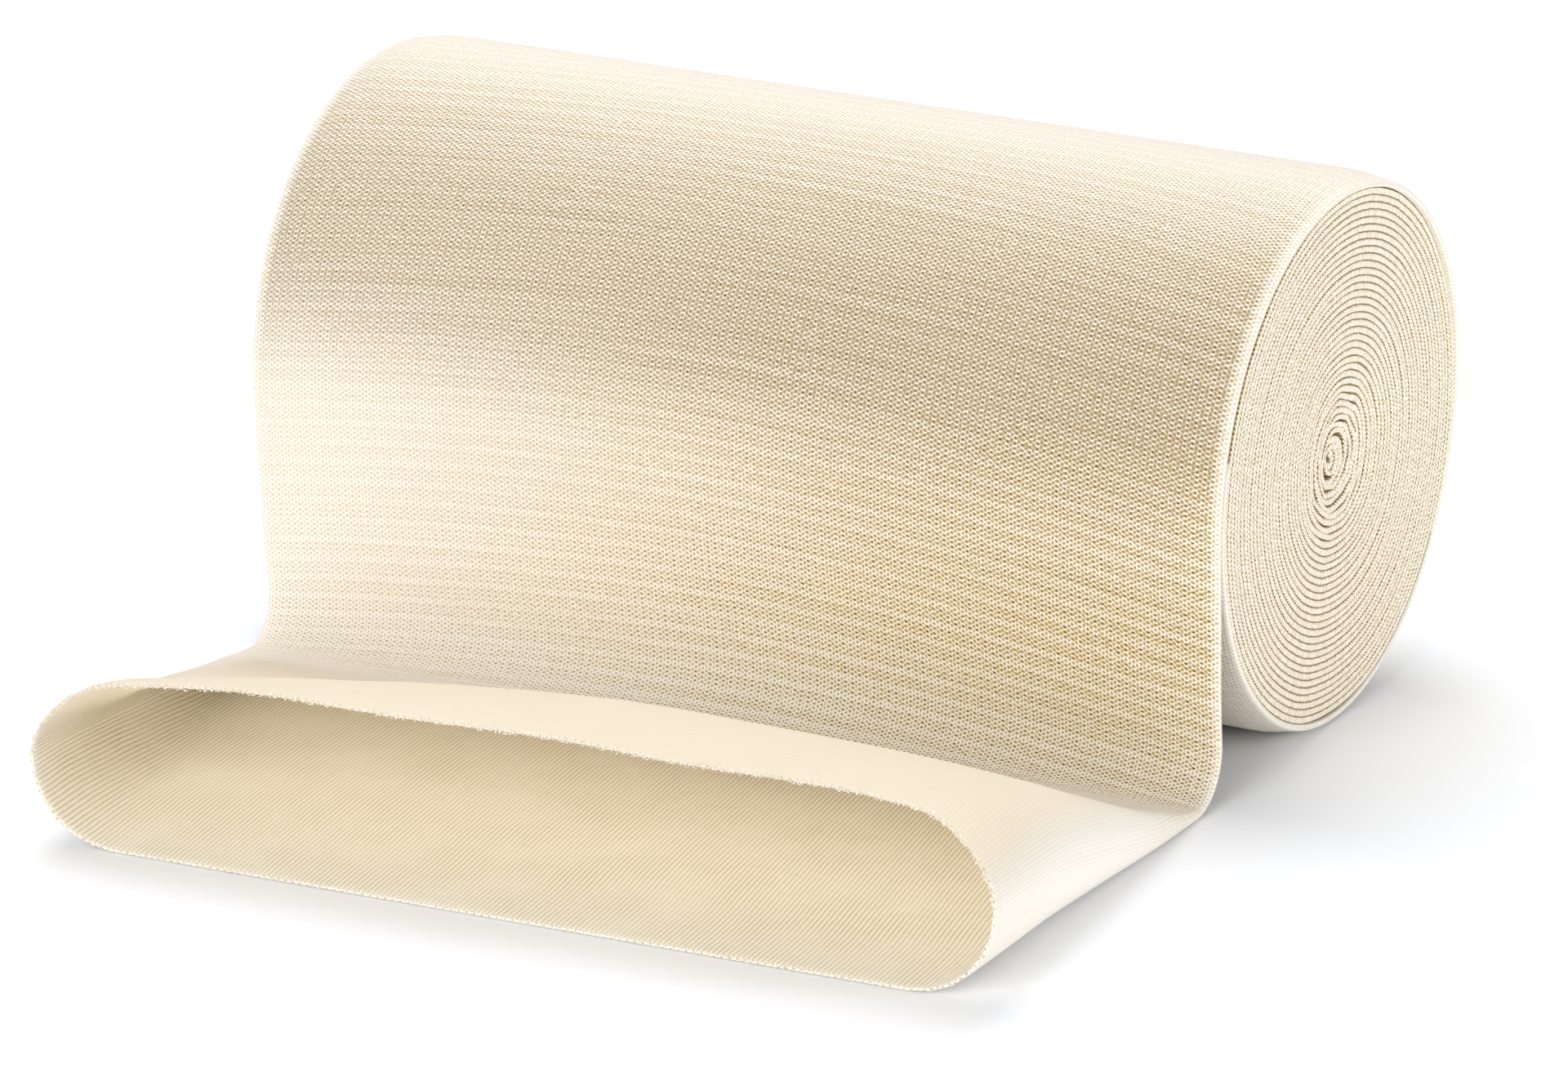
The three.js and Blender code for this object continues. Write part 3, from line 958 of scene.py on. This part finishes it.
def make_loose_end(sizes, face_material, back_material):
    """Outer turn and loose end in one skin, with its knit map and how the knit lies."""
    rings, lengths, rim_from, inner_from = cloth_rings(sizes)
    count = len(rings[0][0])
    repeats = round(sizes.flat_width / (WALES * sizes.wale))
    girth = 2 * repeats * WALES * sizes.wale  # whole wales and ribs, so that the knit closes round the tube
    points = np.concatenate([ring for ring, _ in rings])
    shares = np.stack([share for _, share in rings])
    fold_share = np.abs((2 * shares + 0.5) % 1 - 0.5) * 2  # 0 in the middle of a layer, 1 at its folds
    uvs = np.stack([shares * girth, lengths[:, None] - sizes.bow * fold_share**2], axis=2)
    faces, corners, inner = cloth_faces(uvs, inner_from)
    mesh = bpy.data.meshes.new("loose_end")
    mesh.from_pydata(points.tolist(), [], faces)
    layer = mesh.uv_layers.new(name=KNIT_UV)
    layer.uv.foreach_set("vector", np.array(corners, np.float32).ravel())

    # How far the stitches are drawn open, how taut the knit is, which also paints shade on the band round the
    # roll, and how much light it lets through
    lie = read_rows(KNIT_ROWS, "run", np.repeat(lengths / MM, count))
    rightward = smoothstep(points[:, 0], -sizes.flat_width / 2, sizes.flat_width / 2)
    unfolded = 1 - FOLD_SHUT * smoothstep(fold_share[:, :count].ravel(), *FOLD_BAND)
    opened = (lie["left"] + (lie["right"] - lie["left"]) * rightward) * unfolded
    # Cut edge drawn open, partly painted shade over the bright line its rounded rim catches
    opened[rim_from * count : inner_from * count] = RIM_OPEN_SHADE
    taut_shade = lie["taut_shade"] * unfolded
    parted = smoothstep(lengths / MM, *SHEER_RUN)
    upper = smoothstep(-np.cos(TURN * shares[:, :count]), *UPPER_LAYER)
    sheer = SHEER * (parted[:, None] * upper).ravel()
    for name, values in ((OPEN_NAME, opened), (TAUT_SHADE_NAME, taut_shade), (SHEER_NAME, sheer)):
        mesh.attributes.new(name, "FLOAT", "POINT").data.foreach_set("value", values)
    mesh.materials.append(face_material)
    mesh.materials.append(back_material)
    mesh.polygons.foreach_set("material_index", np.array(inner, np.int32))
    mesh.polygons.foreach_set("use_smooth", np.ones(len(faces), bool))
    mesh.validate()
    mesh.update()
    return new_object("loose_end", mesh)


# Cut edge of the mouth

STREWN = 0.4 * MM  # how far a fibre lies from the middle of the edge
CURL = math.radians(110)  # how far a fibre curls round


def cut_edge_tree():
    """Short curled fibres along a path, each turned and sized by chance."""
    tree = new_tree(
        "Cut edge",
        [
            ("Geometry", "NodeSocketGeometry"),
            ("Fibres", "NodeSocketInt"),
            ("Fibre length", "NodeSocketFloat"),
            ("Fibre radius", "NodeSocketFloat"),
            ("Seed", "NodeSocketInt"),
            ("Material", "NodeSocketMaterial"),
        ],
    )
    given = node(tree, "NodeGroupInput")
    edge = node(tree, "GeometryNodeMeshToCurve", {"Mesh": given["Geometry"]})[0]
    spaced = node(tree, "GeometryNodeResampleCurve", {"Curve": edge, "Count": given["Fibres"]})[0]
    shift = node(
        tree,
        "FunctionNodeRandomValue",
        {"Min": (-STREWN,) * 3, "Max": (STREWN,) * 3, "Seed": given["Seed"]},
        data_type="FLOAT_VECTOR",
    )[0]
    strewn = node(tree, "GeometryNodeSetPosition", {"Geometry": spaced, "Offset": shift})[0]
    fibre = node(
        tree,
        "GeometryNodeCurveArc",
        {"Resolution": 5, "Radius": given["Fibre length"], "Sweep Angle": CURL},
    )[0]
    thread = node(
        tree, "GeometryNodeCurvePrimitiveCircle", {"Resolution": 3, "Radius": given["Fibre radius"]}
    )[0]
    fibre = node(
        tree, "GeometryNodeCurveToMesh", {"Curve": fibre, "Profile Curve": thread, "Fill Caps": True}
    )[0]
    spin = node(
        tree,
        "FunctionNodeRandomValue",
        {"Min": (0.0, 0.0, 0.0), "Max": (TURN, TURN, TURN), "Seed": given["Seed"]},
        data_type="FLOAT_VECTOR",
    )[0]
    size = node(
        tree, "FunctionNodeRandomValue", {2: 0.45, 3: 1.0, "Seed": given["Seed"]}, data_type="FLOAT"
    )[1]
    placed = node(
        tree,
        "GeometryNodeInstanceOnPoints",
        {"Points": strewn, "Instance": fibre, "Rotation": spin, "Scale": size},
    )[0]
    real = node(tree, "GeometryNodeRealizeInstances", {"Geometry": placed})[0]
    smooth = node(tree, "GeometryNodeSetShadeSmooth", {"Geometry": real})[0]
    done = node(tree, "GeometryNodeSetMaterial", {"Geometry": smooth, "Material": given["Material"]})[0]
    node(tree, "NodeGroupOutput", {"Geometry": done})
    return tree


def make_cut_edge(sizes, material):
    """Cut yarn ends along the upper lip of the mouth, from fold to fold."""
    mouth = np.stack(cloth_route(sizes), axis=1)[-1]
    rim = cut_ring(sizes, mouth, (MOUTH_ROUND + 1) // 2)[0]
    quarter = len(rim) // 4
    lip = rim[quarter : 3 * quarter + 1]
    mesh = bpy.data.meshes.new("cut_edge")
    mesh.from_pydata(lip.tolist(), [(i, i + 1) for i in range(len(lip) - 1)], [])
    values = {
        "Fibres": sizes.fibres,
        "Fibre length": 0.6 * MM,
        "Fibre radius": 0.2 * MM,
        "Seed": sizes.seed,
        "Material": material,
    }
    return apply_tree(new_object("cut_edge", mesh), cut_edge_tree(), values)


# Operators


def settings():
    return bpy.context.scene.bandage


def attach(obj):
    """Let a piece stand for the bandage's solid and move with it."""
    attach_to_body(obj, BODY)
    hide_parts(NODE)


class BANDAGE_OT_wound_turns(bpy.types.Operator):
    """Wind the flattened tube into a roll"""

    bl_idname = "bandage.wound_turns"
    bl_label = "Wind the turns"

    def execute(self, context):
        sizes, colours = settings().sizes, settings().colours
        # The end face takes the paler fold colour, painted light
        obj = make_wound_turns(sizes, knit_face("cotton elastic knit, lit folds", sizes, colours, colours.fold))
        attach(obj)
        return {"FINISHED"}


class BANDAGE_OT_loose_end(bpy.types.Operator):
    """Lay the outer turn over the roll and its loose end out on the table"""

    bl_idname = "bandage.loose_end"
    bl_label = "Lay the loose end"

    def execute(self, context):
        sizes, colours = settings().sizes, settings().colours
        face = knit_face("cotton elastic knit, face", sizes, colours, colours.loop)
        attach(make_loose_end(sizes, face, knit_back(sizes, colours)))
        return {"FINISHED"}


class BANDAGE_OT_cut_edge(bpy.types.Operator):
    """Set the cut yarn ends along the mouth"""

    bl_idname = "bandage.cut_edge"
    bl_label = "Cut the mouth"

    def execute(self, context):
        sizes, colours = settings().sizes, settings().colours
        edge = make_cut_edge(sizes, cut_yarn(colours))
        attach(edge)
        return {"FINISHED"}


class BANDAGE_OT_stage(bpy.types.Operator):
    """Set the table, the soft lights and the camera"""

    bl_idname = "bandage.stage"
    bl_label = "Set the stage"

    def execute(self, context):
        stage, colours = settings().stage, settings().colours
        make_floor(colours)
        make_lights(stage)
        make_camera(stage)
        return {"FINISHED"}


# Stage


def make_floor(colours):
    """Wide table top of matt white laminate, a hair below the cloth: even white, with soft shadows alone."""
    reach, depth = 6.0, -0.0002
    mesh = bpy.data.meshes.new("floor")
    corners = [(-reach, -reach, depth), (reach, -reach, depth), (reach, reach, depth), (-reach, reach, depth)]
    mesh.from_pydata(corners, [], [(0, 1, 2, 3)])
    material, _, shader = new_material("matt white laminate")
    shader.inputs["Base Color"].default_value = (*colours.floor, 1)
    shader.inputs["Roughness"].default_value = 0.9
    shader.inputs["Specular IOR Level"].default_value = 0.1
    mesh.materials.append(material)
    new_object("floor", mesh)


# Soft boxes: place and size in metres, power in watts
LIGHT_ROWS = [
    {"name": "top_box", "place": (-0.55, 0.6, 1.65), "size": 1.7, "power": 24.0},
    {"name": "front_box", "place": (0.1, -1.7, 0.62), "size": 1.0, "power": 18.0},
    {"name": "right_box", "place": (2.0, 0.0, 0.5), "size": 1.0, "power": 14.8},
]
LIGHT_TARGET = Vector((0.0, -0.08, 0.06))
SENSOR_WIDTH = 36.0  # millimetres


def make_lights(stage):
    """Even white surroundings and three soft boxes."""
    world = bpy.data.worlds.new("studio")
    world.use_nodes = True
    sky = world.node_tree.nodes["Background"]
    sky.inputs["Color"].default_value = (1.0, 1.0, 1.0, 1.0)
    sky.inputs["Strength"].default_value = stage.sky
    bpy.context.scene.world = world
    for row in LIGHT_ROWS:
        light = bpy.data.lights.new(row["name"], "AREA")
        light.shape = "DISK"
        light.size = row["size"]
        light.energy = row["power"]
        obj = new_object(row["name"], light)
        obj.location = row["place"]
        aim = LIGHT_TARGET - obj.location
        obj.rotation_euler = aim.to_track_quat("-Z", "Y").to_euler()


def make_camera(stage):
    """Long lens, looking down on the roll from its front right."""
    camera = bpy.data.cameras.new("camera")
    camera.sensor_width = SENSOR_WIDTH
    camera.lens = stage.lens
    obj = new_object("camera", camera)
    a, e = stage.azimuth, stage.elevation
    back = Vector((math.sin(a) * math.cos(e), -math.cos(a) * math.cos(e), math.sin(e)))
    obj.location = Vector(stage.target) + back * stage.distance
    obj.rotation_euler = (-back).to_track_quat("-Z", "Y").to_euler()
    scene = bpy.context.scene
    scene.camera = obj
    scene.view_settings.view_transform = "Standard"


# Panel and registration


class BANDAGE_PT_panel(bpy.types.Panel):
    """Sizes, colours and steps of the bandage"""

    bl_idname = "BANDAGE_PT_panel"
    bl_label = "Tubular bandage"
    bl_space_type = "VIEW_3D"
    bl_region_type = "UI"
    bl_category = "Bandage"

    def draw(self, context):
        layout = self.layout
        for operator in OPERATORS:
            layout.operator(operator.bl_idname)
        for group in (settings().sizes, settings().colours, settings().stage):
            box = layout.box()
            for name in group.__annotations__:
                box.prop(group, name)


OPERATORS = (BANDAGE_OT_wound_turns, BANDAGE_OT_loose_end, BANDAGE_OT_cut_edge, BANDAGE_OT_stage)
CLASSES = (BandageSizes, BandageColours, BandageStage, BandageSettings, *OPERATORS, BANDAGE_PT_panel)


def register():
    for cls in CLASSES:
        bpy.utils.register_class(cls)
    bpy.types.Scene.bandage = PointerProperty(type=BandageSettings)


def unregister():
    del bpy.types.Scene.bandage
    for cls in reversed(CLASSES):
        bpy.utils.unregister_class(cls)


def main():
    """Make the pieces in order."""
    register()
    bpy.ops.bandage.wound_turns()
    bpy.ops.bandage.loose_end()
    bpy.ops.bandage.cut_edge()
    bpy.ops.bandage.stage()


if __name__ == "__main__":
    main()
